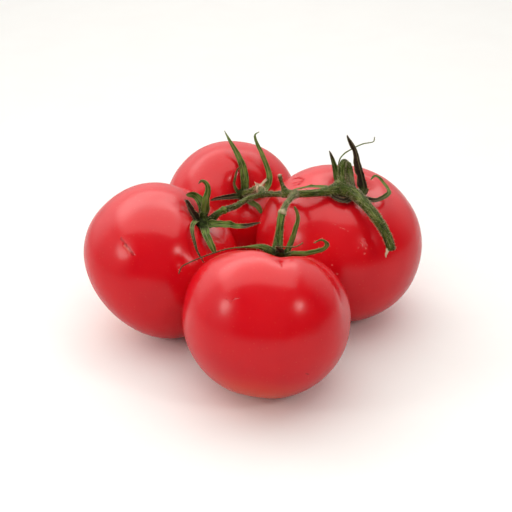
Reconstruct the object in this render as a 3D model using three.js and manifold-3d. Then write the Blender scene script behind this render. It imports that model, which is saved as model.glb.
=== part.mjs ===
// A truss of four ripe tomatoes, as picked, lying on a flat surface.
// Millimetres, +Z up. The origin is on the surface, under the middle of the truss.
// +X runs from the left fruit to the right one, and +Y from the front fruit to the back one.

import * as THREE from 'three';
import { mergeVertices } from 'three/addons/utils/BufferGeometryUtils.js';
import Module from 'manifold-3d';

const wasm = await Module();
wasm.setup();

// Clearances and common sizes
const GAP = 0.3; // between a fruit and its calyx, and across each knuckle
const FLAT_DEPTH = 0.4; // how far a fruit's skin is pressed flat where it rests
const HOLLOW_DEPTH = 7; // stem hollow in a fruit's crown
const HOLLOW_WIDTH = 9; // radius at which that hollow has mostly run out
const BLOSSOM_DIMPLE = 1.2; // shallow dimple at the other end of a fruit
const FRUIT_SIDES = 36;
const CROWN_RINGS = 10; // rings of facets from the stem hollow to the widest line
const BASE_RINGS = 7; // and from there to the blossom end

const LIMB_SIDES = 9;
const STALK_RADIUS = 2.2; // cut main stalk
const NODE_RADIUS = 3.4; // swollen node over the right fruit
const RACHIS_RADIUS = 1.55; // stalk running on from that node
const TWIG_RADIUS = 1.25; // fruit stalk above its knuckle
const PEDICEL_RADIUS = 1.8; // fruit stalk below its knuckle
const HUB_RADIUS = 4.2; // disc that the sepals grow from

const BLADE_THICKNESS = 0.7;
const BLADE_KEEL = 0.22; // how deep a sepal is folded along its rib, as a share of its width
const TIP_WIDTH = 0.9;

// Where each fruit stalk has its knuckle, and the points that the main stalk runs through
const KNUCKLES = {
  left: [-13, -4, 56.6],
  back: [1.4, 27.6, 52.2],
  right: [40.4, 10.4, 70.8],
  front: [10.9, -33, 69],
};
const NODE = [35.8, 0, 64.7];
const STALK = [
  [56, -24.5, 48.5], [54.5, -23, 53], [51, -19, 58.5], [46, -11.5, 62.3], [41, -3, 64], NODE,
];
const RACHIS = [
  NODE, [29.3, -3.5, 64.8], [23, -5.5, 65], [16, -4.5, 64.4], [10, 3, 60.8], [3.1, 10, 57.3],
  [-3, 6, 57.2], [-8, 0, 56.6], KNUCKLES.left,
];
const RIGHT_TWIG = [NODE, [36.4, 3, 68.2], [36.6, 5.5, 72.2], [38.2, 8, 73.3], KNUCKLES.right];
const BACK_TWIG = [[3.1, 10, 57.3], [3, 16, 56.2], [2.4, 22, 54.4], KNUCKLES.back];
const FRONT_TWIG = [[17, -4.5, 64.4], [15.5, -13, 67], [12.8, -24, 68.8], KNUCKLES.front];
const STUB = [[13.5, -2, 62.5], [11.8, -1, 66], [10.8, -0.5, 69], [10.3, -0.5, 71.5]];

// Fruits: place of the centre, half-width, heights above and below the widest line, squareness of
// crown and base, lean of the stem axis from upright and the compass direction it leans to.
// Folds are shallow grooves that run out of the stem hollow: direction, depth, width in degrees.
// A sepal's path runs outwards from the hub, as x, y and height along the stem axis. Its taper is
// low where it stays broad and high where it soon thins out, and its roll turns its face, in degrees.
const FRUITS = {
  left: {
    at: [-40.1, -2], radius: 34, crown: 30.9, base: 27.3, crownPower: 2.18, basePower: 2.34,
    lean: 42.6, towards: -7,
    folds: [[-95, 0.7, 14], [-20, 0.8, 16], [60, 0.8, 16], [125, 0.5, 14], [190, 0.6, 16]],
    sepals: [
      { // broad, bending back over the crown
        width: 4.4, taper: 0.35, roll: -20,
        path: [[0, 1, 0.5], [-1, 2.5, 2.5], [-3, 3.5, 5], [-5, 4.5, 6], [-8, 5.5, 6.5], [-10.5, 4.5, 6.5],
          [-12.5, 3, 5.5]],
      },
      { // upright, its tip hooked over
        width: 4.4, taper: 0.5, roll: 80,
        path: [[-0.5, 0.5, 1], [-2.5, 0, 6.5], [-6, 0, 11], [-7.5, 1, 14], [-9.5, 1.5, 15.7], [-11, 2, 16],
          [-12.5, 2, 15.5], [-12.7, 1, 14]],
      },
      { // withered, flat on the crown
        width: 3.8, taper: 0.3, roll: -45,
        path: [[-1.5, -1, 0.5], [-5.5, -2.5, 2.5], [-8, -3, 3.7], [-11, -3, 5], [-13.5, -3.5, 6.5]],
      },
      { // thin, down the near side
        width: 2.6, taper: 0.5, roll: 35,
        path: [[-1, -2, 0.5], [-5, -9, 4], [-6.5, -16, 4.2], [-4.5, -20, 3.2], [-0.5, -24, 1.5],
          [4.5, -25.5, 0]],
      },
      { // broad and short, down the near side
        width: 4.4, taper: 0.25, roll: 45,
        path: [[0.5, -2, 0.5], [0.5, -8, 3.5], [0.7, -14.5, 5], [3.5, -17.5, 4.5], [7, -19.5, 3.5]],
      },
      { // long, out to the right
        width: 4.5, taper: 0.45, roll: 45,
        path: [[0.5, -1.5, 0.5], [3.5, -3, 5.5], [6.5, -3.5, 8.5], [10.5, -3, 11], [14, -2.5, 13.5],
          [18, -0.5, 18.5]],
      },
    ],
  },
  back: {
    at: [-10.5, 58.1], radius: 30.8, crown: 26, base: 25.4, crownPower: 2.33, basePower: 2.07,
    lean: 50.9, towards: -70,
    folds: [[20, 0.6, 15], [95, 0.7, 16], [150, 0.5, 14], [235, 0.6, 16], [310, 0.8, 15]],
    sepals: [
      { // tall, standing off the crown
        width: 4.8, taper: 0.7, roll: -10,
        path: [[0, 1, 0.5], [-0.5, 3.5, 2.5], [-1.5, 7.5, 3.7], [-3.5, 12.5, 5], [-7, 18, 5],
          [-11, 23.5, 4.5], [-13.5, 27, 4.5]],
      },
      { // a thin loop
        width: 2.2, taper: 0.5, roll: 0,
        path: [[-1, 0, 0.5], [-4.5, 1, 3], [-6.2, 4, 4], [-6, 7.5, 5], [-5.5, 10, 5.2], [-4, 12, 5.5]],
      },
      { // withered, flat to the left
        width: 3.4, taper: 0.35, roll: 0,
        path: [[-1, -0.5, 0.5], [-5, -2.5, 3.5], [-8.5, -4, 5], [-12.5, -5.5, 5.7], [-16, -7, 5.7]],
      },
      { // tall on the right, its tip hooked
        width: 3.6, taper: 0.5, roll: 0,
        path: [[1, 0, 0.5], [5.5, 1, 4], [9, 4, 6.5], [9.5, 8.5, 7.2], [8, 12.5, 7], [4.5, 19, 7],
          [1, 25, 6.5], [0.5, 27.5, 6.3], [2, 29, 7]],
      },
      { // short, under the stalk
        width: 3.6, taper: 0.25, roll: 20,
        path: [[1, -1, 0.5], [3, -4, 4.5], [5.5, -5.5, 6], [8, -8.5, 6]],
      },
    ],
  },
  right: {
    at: [36.5, 13], radius: 36.1, crown: 32.6, base: 32.8, crownPower: 2.18, basePower: 1.98,
    lean: 15.8, towards: -45,
    folds: [[-115, 0.8, 15], [-45, 0.6, 14], [25, 0.6, 16], [100, 0.6, 15], [170, 0.7, 16]],
    sepals: [
      { // tall and withered, standing on the right
        width: 4.8, taper: 0.45, roll: 55,
        path: [[1, -1, 0.5], [3.2, -2, 2.5], [4, -0.5, 5], [2.7, 1.5, 8], [-0.5, 3.5, 14.5], [-3.5, 6, 20],
          [-8, 7, 25]],
      },
      { // upright, on the left behind the node
        width: 4.2, taper: 0.5, roll: -40,
        path: [[-1, 0.5, 0.5], [-5, 1, 2.5], [-8, 3.5, 5], [-10, 5.5, 9], [-12.5, 7, 13.5], [-13.5, 8, 15]],
      },
      { // a thread waving over the top
        width: 1.3, taper: 0.15, roll: -30,
        path: [[-1, 1.5, 0.5], [-5, 5, 3], [-7.5, 8.5, 6.5], [-7.5, 11, 10], [-6, 12.5, 12], [-4, 13.5, 13.5],
          [1, 16, 16], [5.5, 16.5, 18], [5.5, 17, 20]],
      },
      { // out to the right, then bent up and curled
        width: 2.8, taper: 0.3, roll: 35,
        path: [[1, -1.5, 0.5], [3.5, -7.5, 4.5], [6.5, -10, 5.5], [10, -8.5, 6], [13.7, -4.5, 7], [13, 0, 7],
          [11, 2, 8], [9, 3, 9.2], [7.5, 3, 9.5], [6, 2, 8]],
      },
      { // long and flat, out to the left
        width: 3, taper: 0.5, roll: -20,
        path: [[-1.5, -1, 0.5], [-6, -5.5, 4.5], [-11, -6.5, 6], [-19, -5.5, 4.5], [-23, -5, 2.5],
          [-26, -4, 0.5]],
      },
      { // short, under the node
        width: 3.8, taper: 0.3, roll: -30,
        path: [[-0.5, -2, 0.5], [-2, -8, 4], [-5.5, -12.5, 4.7], [-9, -11.5, 4.8], [-11.5, -9.5, 5]],
      },
    ],
  },
  front: {
    at: [4.6, -52.9], radius: 33.6, crown: 29.5, base: 31.8, crownPower: 2.3, basePower: 1.98,
    lean: 27.5, towards: 70,
    folds: [[-88, 1.6, 12], [-22, 2, 13], [45, 0.6, 15], [122, 3, 28], [205, 0.4, 16]],
    sepals: [
      { // broad at its root, then a long thread
        width: 4.2, taper: 2.8, roll: 75,
        path: [[-0.5, -1.5, 0.5], [-2.5, -2, 2.5], [-5.5, -1, 3], [-8, -0.5, 3.3], [-11, -1, 3.3],
          [-19, -1.5, 2], [-26.5, -2.5, -1.5], [-34, -3, -6], [-36.5, -4, -8], [-37.3, -4.5, -11]],
      },
      { // upright beside the stalk
        width: 2.8, taper: 0.4, roll: 45,
        path: [[1, -0.5, 0.5], [4, -0.5, 4.5], [5, -1, 8.5], [5.5, -2.5, 12], [6, -4, 18], [5, -5.5, 20.5],
          [3.5, -7.5, 22.5]],
      },
      { // out to the right, its tip curled up
        width: 2.6, taper: 0.25, roll: -20,
        path: [[1, -1.5, 0.5], [5, -4.5, 3.5], [8, -5.5, 4.2], [11, -4.5, 4.7], [16, -3, 6.5], [18, -2, 7.5],
          [19, -3, 9], [18, -5, 10.5], [16, -6.5, 11], [13.5, -7, 9.5]],
      },
      { // a thin one across the front
        width: 1.3, taper: 0.15, roll: 0,
        path: [[-1, -2, 0.5], [-2.5, -8, 4.5], [-0.5, -9.7, 5.2], [4, -10, 6], [7, -9, 7], [9, -10, 9]],
      },
    ],
  },
};

// Colours
const RED = new THREE.MeshStandardMaterial({ color: 0xc8141c, roughness: 0.3, metalness: 0 });
const GREEN = new THREE.MeshStandardMaterial({ color: 0x5a7032, roughness: 0.75, metalness: 0 });
const LEAF = new THREE.MeshStandardMaterial({ color: 0x4c7a30, roughness: 0.75, metalness: 0 });

const vector = (point) => new THREE.Vector3(...point);
const radians = (degrees) => THREE.MathUtils.degToRad(degrees);

// Mesh to solid and back, for joining and cutting

function solidOf(geometry) {
  const bare = geometry.clone();
  bare.deleteAttribute('normal');
  bare.deleteAttribute('uv');
  const merged = mergeVertices(bare, 1e-4);
  const corners = merged.index.array;
  const triangles = [];
  for (let i = 0; i < corners.length; i += 3) {
    const [a, b, c] = corners.slice(i, i + 3);
    if (a !== b && b !== c && c !== a) triangles.push(a, b, c);
  }
  return new wasm.Manifold(new wasm.Mesh({
    numProp: 3,
    vertProperties: Float32Array.from(merged.attributes.position.array),
    triVerts: Uint32Array.from(triangles),
  }));
}

function geometryOf(solid) {
  const { vertProperties, triVerts } = solid.getMesh();
  const geometry = new THREE.BufferGeometry();
  geometry.setAttribute('position', new THREE.BufferAttribute(vertProperties, 3));
  geometry.setIndex(new THREE.BufferAttribute(triVerts, 1));
  geometry.computeVertexNormals();
  return geometry;
}

function joined(geometries) {
  return geometries.map(solidOf).reduce((whole, piece) => whole.add(piece));
}

// Fruit: a turned super-ellipse with a stem hollow, then its folds pressed in

function fruitProfile(fruit) {
  const points = [];
  const rings = CROWN_RINGS + BASE_RINGS;
  for (let i = 0; i <= rings; i += 1) {
    const above = i > BASE_RINGS;
    const share = above ? (i - BASE_RINGS) / CROWN_RINGS : i / BASE_RINGS - 1;
    const angle = share * Math.PI / 2;
    const height = above ? fruit.crown : fruit.base;
    const power = above ? fruit.crownPower : fruit.basePower;
    const side = Math.cos(angle);
    const rise = Math.sin(angle);
    const reach = ((side / fruit.radius) ** power + (Math.abs(rise) / height) ** power) ** (-1 / power);
    const r = i === 0 || i === rings ? 0 : reach * side;
    const hollow = above ? HOLLOW_DEPTH * Math.exp(-((r / HOLLOW_WIDTH) ** 2)) : 0;
    const dimple = above ? 0 : BLOSSOM_DIMPLE * Math.exp(-((r / 6) ** 2));
    points.push(new THREE.Vector2(r, reach * rise - hollow + dimple));
  }
  return points;
}

function fruitGeometry(fruit) {
  const geometry = new THREE.LatheGeometry(fruitProfile(fruit), FRUIT_SIDES);
  geometry.rotateX(Math.PI / 2);
  const position = geometry.attributes.position;
  const point = new THREE.Vector3();
  for (let i = 0; i < position.count; i += 1) {
    point.fromBufferAttribute(position, i);
    const r = Math.hypot(point.x, point.y);
    const turn = THREE.MathUtils.radToDeg(Math.atan2(point.y, point.x));
    const fade = THREE.MathUtils.smoothstep(point.z / fruit.crown, -0.3, 0.7)
      * THREE.MathUtils.smoothstep(r, 3, 12);
    let press = 0;
    for (const [towards, depth, width] of fruit.folds) {
      const off = THREE.MathUtils.euclideanModulo(turn - towards + 180, 360) - 180;
      press += depth * Math.exp(-((off / width) ** 2));
    }
    point.multiplyScalar(1 - press * fade / point.length());
    position.setXYZ(i, point.x, point.y, point.z);
  }
  return geometry;
}

// The same shape swollen along its normals, to cut a clearance in its neighbour
function swollen(geometry, by) {
  const bare = geometry.clone();
  bare.deleteAttribute('normal');
  bare.deleteAttribute('uv');
  const merged = mergeVertices(bare, 1e-4);
  merged.computeVertexNormals();
  const { position, normal } = merged.attributes;
  for (let i = 0; i < position.count; i += 1) {
    position.setXYZ(
      i,
      position.getX(i) + by * normal.getX(i),
      position.getY(i) + by * normal.getY(i),
      position.getZ(i) + by * normal.getZ(i),
    );
  }
  return merged;
}

// Sweep a section along a curve. The sections are turned as little as possible from one to the
// next, starting with the across direction given, and both faces are split along alike diagonals.
function sweep(curve, steps, across, section) {
  const vertices = [];
  const side = across.clone();
  const through = new THREE.Vector3();
  let sides = 0;
  for (let i = 0; i <= steps; i += 1) {
    const t = i / steps;
    const centre = curve.getPointAt(t);
    const along = curve.getTangentAt(t);
    side.addScaledVector(along, -side.dot(along)).normalize();
    through.crossVectors(along, side);
    const ring = section(t);
    sides = ring.length;
    for (const [a, b] of ring) {
      vertices.push(
        centre.x + a * side.x + b * through.x,
        centre.y + a * side.y + b * through.y,
        centre.z + a * side.z + b * through.z,
      );
    }
  }
  const triangles = [];
  for (let i = 0; i < steps; i += 1) {
    for (let j = 0; j < sides; j += 1) {
      const k = (j + 1) % sides;
      const here = i * sides;
      const next = here + sides;
      triangles.push(here + j, here + k, next + k, here + j, next + k, next + j);
    }
  }
  const last = steps * sides;
  for (let j = 2; j < sides; j += 1) {
    const k = (j + 1) % sides;
    triangles.push(1, k, j, last + 1, last + j, last + k);
  }
  const geometry = new THREE.BufferGeometry();
  geometry.setAttribute('position', new THREE.Float32BufferAttribute(vertices, 3));
  geometry.setIndex(triangles);
  return geometry;
}

// A round stalk whose radius follows the list of radii from end to end
function limbGeometry(points, radii, steps) {
  const curve = new THREE.CatmullRomCurve3(points.map(vector));
  const radiusAt = (t) => {
    const place = t * (radii.length - 1);
    const i = Math.min(Math.floor(place), radii.length - 2);
    return THREE.MathUtils.lerp(radii[i], radii[i + 1], place - i);
  };
  const section = (t) => {
    const ring = [];
    for (let j = 0; j < LIMB_SIDES; j += 1) {
      const angle = j / LIMB_SIDES * 2 * Math.PI;
      ring.push([radiusAt(t) * Math.cos(angle), radiusAt(t) * Math.sin(angle)]);
    }
    return ring;
  };
  return sweep(curve, steps, new THREE.Vector3(0.3, 0.9, 0.2).normalize(), section);
}

// A sepal: a thin pointed blade, folded a little along its rib
function sepalGeometry({ width, taper, roll, path }) {
  const curve = new THREE.CatmullRomCurve3(path.map(vector));
  const steps = path.length < 7 ? 7 : 12;
  const outward = curve.getTangentAt(0);
  const across = new THREE.Vector3(-outward.y, outward.x, 0).normalize();
  across.applyAxisAngle(outward, radians(roll));
  const section = (t) => {
    const swell = 0.65 + 0.35 * Math.sin(Math.min(1, t / 0.3) * Math.PI / 2);
    const half = Math.max(TIP_WIDTH, width * swell * (1 - t) ** taper) / 2;
    const top = BLADE_THICKNESS / 2;
    const fold = 2 * half * BLADE_KEEL;
    return [
      [half, fold - top], [half, fold + top], [0, top], [-half, fold + top], [-half, fold - top],
      [0, -top],
    ];
  };
  return sweep(curve, steps, across, section);
}

// Main stalk with its node, the stalk that runs on, four twigs and a withered flower stub
function stemGeometry() {
  const pieces = [
    limbGeometry(STALK, [STALK_RADIUS, STALK_RADIUS, STALK_RADIUS, STALK_RADIUS, 2.6, NODE_RADIUS], 10),
    limbGeometry(RACHIS, [NODE_RADIUS, 1.9, RACHIS_RADIUS, 1.7, 1.4, 1.3, 1.3, 1.4, 1.7], 18),
    limbGeometry(RIGHT_TWIG, [NODE_RADIUS, 2.2, 2, 2.2], 7),
    limbGeometry(BACK_TWIG, [1.4, TWIG_RADIUS, 1.4, 2], 6),
    limbGeometry(FRONT_TWIG, [1.6, TWIG_RADIUS, 1.3, 1.9], 7),
    limbGeometry(STUB, [2, 1.1, 0.7, 0.9], 5),
  ];
  return geometryOf(joined(pieces));
}

// Whorl of sepals on a hub, with the fruit stalk up to the knuckle, clear of its neighbours
function calyxGeometry(fruit, knuckle, neighbours) {
  const top = knuckle.clone();
  const bend = new THREE.Vector3(top.x * 0.35, top.y * 0.35, top.z * 0.5);
  const pedicel = limbGeometry(
    [[0, 0, 0], bend.toArray(), top.toArray()],
    [HUB_RADIUS * 0.8, PEDICEL_RADIUS + 0.3, PEDICEL_RADIUS, PEDICEL_RADIUS],
    7,
  );
  const hub = new THREE.LatheGeometry([
    new THREE.Vector2(0, -1), new THREE.Vector2(HUB_RADIUS * 0.8, -0.4), new THREE.Vector2(HUB_RADIUS, 0.8),
    new THREE.Vector2(HUB_RADIUS * 0.6, 2.2), new THREE.Vector2(0, 2.6),
  ], 12);
  hub.rotateX(Math.PI / 2);
  const grown = joined([pedicel, hub, ...fruit.sepals.map(sepalGeometry)]);
  const clear = neighbours.reduce((rest, shape) => rest.subtract(solidOf(swollen(shape, GAP))), grown);
  const pieces = clear.decompose();
  pieces.sort((a, b) => b.volume() - a.volume());
  return geometryOf(pieces[0]);
}

const truss = new THREE.Group();

const stem = new THREE.Mesh(stemGeometry(), GREEN);
stem.name = 'truss_stem';
truss.add(stem);

for (const [side, fruit] of Object.entries(FRUITS)) {
  const lean = radians(fruit.lean);
  const towards = radians(fruit.towards);
  const axis = new THREE.Vector3(
    Math.sin(lean) * Math.cos(towards),
    Math.sin(lean) * Math.sin(towards),
    Math.cos(lean),
  );
  const stand = new THREE.Group();
  stand.quaternion.setFromUnitVectors(new THREE.Vector3(0, 0, 1), axis);
  const skin = fruitGeometry(fruit);
  const lowest = skin.clone().applyQuaternion(stand.quaternion);
  lowest.computeBoundingBox();
  stand.position.set(fruit.at[0], fruit.at[1], -lowest.boundingBox.min.z - FLAT_DEPTH);
  stand.updateMatrixWorld();

  // the flat spot: what would be below the surface is cut away
  const below = new THREE.BoxGeometry(200, 200, 20).translate(0, 0, -10);
  below.translate(fruit.at[0], fruit.at[1], 0).applyMatrix4(stand.matrixWorld.clone().invert());
  const tomato = new THREE.Mesh(geometryOf(solidOf(skin).subtract(solidOf(below))), RED);
  tomato.name = `tomato_${side}`;
  stand.add(tomato);

  const hubHeight = fruit.crown - HOLLOW_DEPTH + 1 + GAP;
  const knuckle = stand.worldToLocal(vector(KNUCKLES[side]));
  knuckle.z -= hubHeight;
  const stemHere = stem.geometry.clone().applyMatrix4(stand.matrixWorld.clone().invert());
  const neighbours = [skin, stemHere].map((shape) => shape.clone().translate(0, 0, -hubHeight));
  const calyx = new THREE.Mesh(calyxGeometry(fruit, knuckle, neighbours), LEAF);
  calyx.name = `calyx_${side}`;
  calyx.position.z = hubHeight;
  stand.add(calyx);
  truss.add(stand);
}

export default truss;
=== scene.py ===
import math
import random

import bmesh
import bpy
from mathutils import Matrix, Vector, noise
from mathutils.geometry import interpolate_bezier
from mathutils.kdtree import KDTree


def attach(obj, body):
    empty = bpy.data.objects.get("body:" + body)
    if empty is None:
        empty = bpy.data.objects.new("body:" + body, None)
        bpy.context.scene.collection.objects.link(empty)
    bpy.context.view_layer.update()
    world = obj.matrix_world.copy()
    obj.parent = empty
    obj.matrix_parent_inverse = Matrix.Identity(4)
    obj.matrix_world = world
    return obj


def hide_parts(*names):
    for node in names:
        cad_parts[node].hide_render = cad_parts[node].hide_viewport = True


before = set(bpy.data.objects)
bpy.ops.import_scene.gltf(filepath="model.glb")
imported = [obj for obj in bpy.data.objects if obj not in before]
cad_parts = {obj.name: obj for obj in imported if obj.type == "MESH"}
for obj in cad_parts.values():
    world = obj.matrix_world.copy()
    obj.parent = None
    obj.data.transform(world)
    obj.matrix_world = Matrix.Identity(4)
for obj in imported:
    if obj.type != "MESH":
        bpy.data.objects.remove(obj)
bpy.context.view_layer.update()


# Camera. It stands in front of the truss, a little above it, and looks down at it
# through a long lens, as the photographer did.
camera_data = bpy.data.cameras.new("camera")
camera_data.lens = 112
camera_data.sensor_width = 36
camera_data.clip_start = 0.05
camera_data.clip_end = 20
camera = bpy.data.objects.new("camera", camera_data)
camera.location = (0.0005, -0.6081, 0.3428)
camera.rotation_euler = (math.radians(63), 0, 0)
bpy.context.scene.collection.objects.link(camera)
bpy.context.scene.camera = camera


# Card. One wide sheet of white card that the truss lies on. It is matt, with the faint
# cloudiness of pressed paper.
def put_node(tree, kind, inputs=None, **settings):
    """One shader node. An input, by name or number, gets a value or another node's socket."""
    node = tree.nodes.new(kind)
    for name, value in settings.items():
        setattr(node, name, value)
    for name, value in (inputs or {}).items():
        if isinstance(value, bpy.types.NodeSocket):
            tree.links.new(value, node.inputs[name])
        else:
            node.inputs[name].default_value = value
    return node


def new_material(name):
    """An empty node material and its tree."""
    material = bpy.data.materials.new(name)
    material.use_nodes = True
    material.node_tree.nodes.clear()
    return material, material.node_tree


def finish_material(tree, surface):
    """Joins a shader to the material's output."""
    put_node(tree, "ShaderNodeOutputMaterial", {"Surface": surface.outputs[0]})


def ramp(tree, factor, *stops):
    """A colour ramp over the factor, with stops of (place, colour)."""
    node = put_node(tree, "ShaderNodeValToRGB", {"Fac": factor})
    elements = node.color_ramp.elements
    while len(elements) < len(stops):
        elements.new(0.5)
    for element, (place, colour) in zip(elements, stops):
        element.position = place
        element.color = (*colour, 1)
    return node.outputs["Color"]


def between(tree, value, low, high, to_low=0.0, to_high=1.0):
    """The value's place between low and high, smoothed at both ends."""
    node = put_node(
        tree, "ShaderNodeMapRange",
        {"Value": value, "From Min": low, "From Max": high, "To Min": to_low, "To Max": to_high},
        interpolation_type="SMOOTHSTEP",
    )
    return node.outputs["Result"]


def blend_colours(tree, factor, first, second):
    """The first colour turning into the second as the factor rises."""
    node = put_node(
        tree, "ShaderNodeMix", {"Factor": factor, 6: first, 7: second}, data_type="RGBA"
    )
    return node.outputs[2]


def calculate(tree, kind, first, second):
    """One step of arithmetic on two values."""
    return put_node(tree, "ShaderNodeMath", {0: first, 1: second}, operation=kind).outputs[0]


SHEET_HALF = 2.5
# The card as its light falls on the fruits, and as the camera sees its dim and its bright clouds
CARD_GREY = (0.72, 0.72, 0.72, 1)
CARD_DIM = (0.985, 0.98, 0.97)
CARD_BRIGHT = (1, 1, 0.99)

bm = bmesh.new()
bmesh.ops.create_grid(bm, x_segments=8, y_segments=8, size=SHEET_HALF)
sheet_mesh = bpy.data.meshes.new("sheet")
bm.to_mesh(sheet_mesh)
bm.free()
sheet = bpy.data.objects.new("sheet", sheet_mesh)
bpy.context.scene.collection.objects.link(sheet)

paper, tree = new_material("white_card")
place = put_node(tree, "ShaderNodeTexCoord").outputs["Object"]
clouds = put_node(tree, "ShaderNodeTexNoise", {"Vector": place, "Scale": 35.0, "Detail": 4.0})
seen = put_node(tree, "ShaderNodeLightPath").outputs["Is Camera Ray"]
lit = ramp(tree, clouds.outputs["Fac"], (0.3, CARD_DIM), (0.7, CARD_BRIGHT))
paper_colour = blend_colours(tree, seen, CARD_GREY, lit)
finish_material(tree, put_node(
    tree, "ShaderNodeBsdfPrincipled",
    {"Base Color": paper_colour, "Roughness": 0.8, "Specular IOR Level": 0.2},
))
sheet_mesh.materials.append(paper)


# Lights. A wide soft box hangs low over the truss and gives the broad sheen on the skins. Two small
# lamps stand in front at the sides. Matt fills soften the shade and whiten the far card, and the
# room's pale walls shine faintly in the skins.
WARM_WHITE = (1, 0.975, 0.93)


def add_light(name, size, at, aim, watts, depth=None, sheen=True, shade=True):
    """A lamp that faces a point and isn't seen itself. It may give only sheen, or only matt light."""
    data = bpy.data.lights.new(name, "AREA")
    data.shape = "RECTANGLE" if depth else "DISK"
    data.size = size
    if depth:
        data.size_y = depth
    data.energy = watts
    data.color = WARM_WHITE
    lamp = bpy.data.objects.new(name, data)
    lamp.location = at
    lamp.rotation_euler = (Vector(aim) - Vector(at)).to_track_quat("-Z", "Y").to_euler()
    lamp.visible_camera = False
    lamp.visible_glossy = sheen
    lamp.visible_diffuse = shade
    bpy.context.scene.collection.objects.link(lamp)


TRUSS_MIDDLE = (0, 0, 0.03)
add_light("soft_box", 0.55, (-0.1, 0.12, 0.33), (-0.1, 0.12, 0), 2.05, depth=0.46, shade=False)
add_light("top_fill", 0.6, (-0.03, -0.06, 0.45), TRUSS_MIDDLE, 1.45, depth=0.6, sheen=False)
add_light("front_fill", 1.1, (-0.05, -0.95, 0.5), TRUSS_MIDDLE, 3.2, depth=0.7, sheen=False)
add_light("back_fill", 0.7, (0, 0.55, 0.45), (0, 0.75, 0), 0.8, depth=0.5, sheen=False)
add_light("lamp_left", 0.14, (-0.5, -0.26, 0.3), TRUSS_MIDDLE, 0.38)
add_light("lamp_right", 0.12, (0.46, -0.4, 0.43), TRUSS_MIDDLE, 0.62)

world = bpy.data.worlds.new("walls")
world.use_nodes = True
bpy.context.scene.world = world
tree = world.node_tree
tree.nodes.clear()
# The walls' light, the share of it from the left, how it grows with height and fades to the right,
# and what comes from in front
WALL_LIGHT = 0.75
LEFT_WALL = 0.5
WALL_RISE = 2.6
WALL_SLANT = -0.38
FRONT_WALL = 0.02
towards = put_node(tree, "ShaderNodeTexCoord").outputs["Generated"]
direction = put_node(tree, "ShaderNodeSeparateXYZ", {"Vector": towards})
behind = between(tree, direction.outputs["Y"], -0.1, 0.55)
left = between(tree, direction.outputs["X"], -0.55, -0.95, 0.0, LEFT_WALL)
height = calculate(tree, "ADD", calculate(tree, "MULTIPLY", direction.outputs["Z"], WALL_RISE), 1.0)
slant = calculate(tree, "ADD", calculate(tree, "MULTIPLY", direction.outputs["X"], WALL_SLANT), 1.0)
top = between(tree, direction.outputs["Z"], 0.68, 0.86, 1.0, 0.15)
walls = calculate(tree, "MULTIPLY", calculate(tree, "MAXIMUM", behind, left), height)
walls = calculate(tree, "MULTIPLY", calculate(tree, "MULTIPLY", walls, slant), top)
walls = calculate(tree, "MAXIMUM", calculate(tree, "MULTIPLY", walls, WALL_LIGHT), FRONT_WALL)
seen = put_node(tree, "ShaderNodeLightPath").outputs["Is Camera Ray"]
strength = calculate(tree, "MAXIMUM", walls, seen)
wall_white = (1, 0.985, 0.96, 1)
background = put_node(tree, "ShaderNodeBackground", {"Color": wall_white, "Strength": strength})
put_node(tree, "ShaderNodeOutputWorld", {"Surface": background.outputs[0]})
bpy.context.scene.view_settings.view_transform = "Standard"


# Fruits. Four ripe tomatoes, each a squat ball of thin waxy skin with a hollow where the stalk
# goes in and a small corky scar at the far end. Each grew on its stalk and rests on the card.
MM = 0.001
HOLLOW_WIDTH = 9
DIMPLE_DEPTH = 1.2
DIMPLE_WIDTH = 6
# The folds come in between these shares of the crown's height and these distances from the axis
FOLD_HEIGHTS = (-0.3, 0.7)
FOLD_START = (3, 12)
# How far the skin wavers, and how often in a mm
WAVER = 0.12
WAVER_SCALE = 0.06
AROUND = 192
RINGS = 128


def smoothstep(value, low, high):
    """The value's place between low and high, smoothed at both ends and held there."""
    share = min(1, max(0, (value - low) / (high - low)))
    return share * share * (3 - 2 * share)


def leaning(lean, towards):
    """The turn that tips an upright fruit's stem axis over, in degrees from upright and of compass."""
    lean, towards = math.radians(lean), math.radians(towards)
    axis = Vector((
        math.sin(lean) * math.cos(towards), math.sin(lean) * math.sin(towards), math.cos(lean)
    ))
    return Vector((0, 0, 1)).rotation_difference(axis).to_matrix().to_4x4()


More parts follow.
